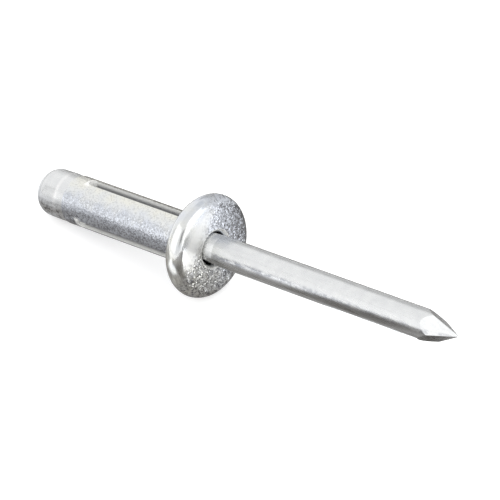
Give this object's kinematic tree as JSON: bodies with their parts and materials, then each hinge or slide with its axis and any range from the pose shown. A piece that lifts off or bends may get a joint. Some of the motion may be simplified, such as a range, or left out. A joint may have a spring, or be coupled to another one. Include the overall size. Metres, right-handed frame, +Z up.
{
  "type": "blind rivet",
  "caption": "Open-end blind rivet before setting: a slotted folding sleeve with a domed flange head, carried on a headed steel mandrel with a faceted point.",
  "frame": {"origin": "middle of the footprint of the rivet as it lies, on the surface under it", "axes": "+Z up, +X from the mandrel's head towards its point, +Y to the left of that; the rivet's own axis rises from the tail by the angle at which it lies, in the XZ plane"},
  "size_m": [0.052, 0.01, 0.0104],
  "materials": {
    "sleeve_plating": "zinc-plated steel with a fine frosty grain",
    "mandrel_steel": "smooth satin steel"
  },
  "bodies": {
    "root": {"rivet_body": "sleeve_plating", "mandrel": "mandrel_steel"}
  },
  "joints": []
}
